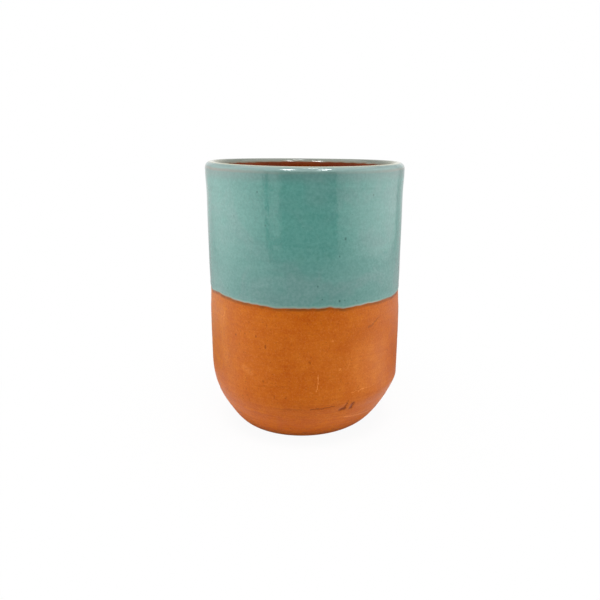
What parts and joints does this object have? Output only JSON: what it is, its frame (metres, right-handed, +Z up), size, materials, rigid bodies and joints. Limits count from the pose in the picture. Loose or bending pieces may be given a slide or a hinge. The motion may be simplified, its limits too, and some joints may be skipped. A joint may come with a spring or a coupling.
{
  "type": "handle-less clay cup",
  "caption": "Hand-thrown terracotta tumbler with no handle, dipped in blue-green glaze over the lip and lined with clear glaze.",
  "frame": {"origin": "centre of the foot, on the surface that the cup stands on", "axes": "+Z up along the cup's axis; the dip line of the coloured glaze tilts down towards +X"},
  "size_m": [0.0842, 0.0842, 0.114],
  "materials": {
    "terracotta": "bare fired earthenware, matt, with faint throwing lines",
    "blue_green_glaze": "opaque blue-green glaze, glossy",
    "clear_glaze_on_clay": "clear glaze over clay, glossy reddish brown"
  },
  "bodies": {
    "root": {"clay_body": "terracotta", "coloured_glaze": "blue_green_glaze", "lining_glaze": "clear_glaze_on_clay"}
  },
  "joints": []
}
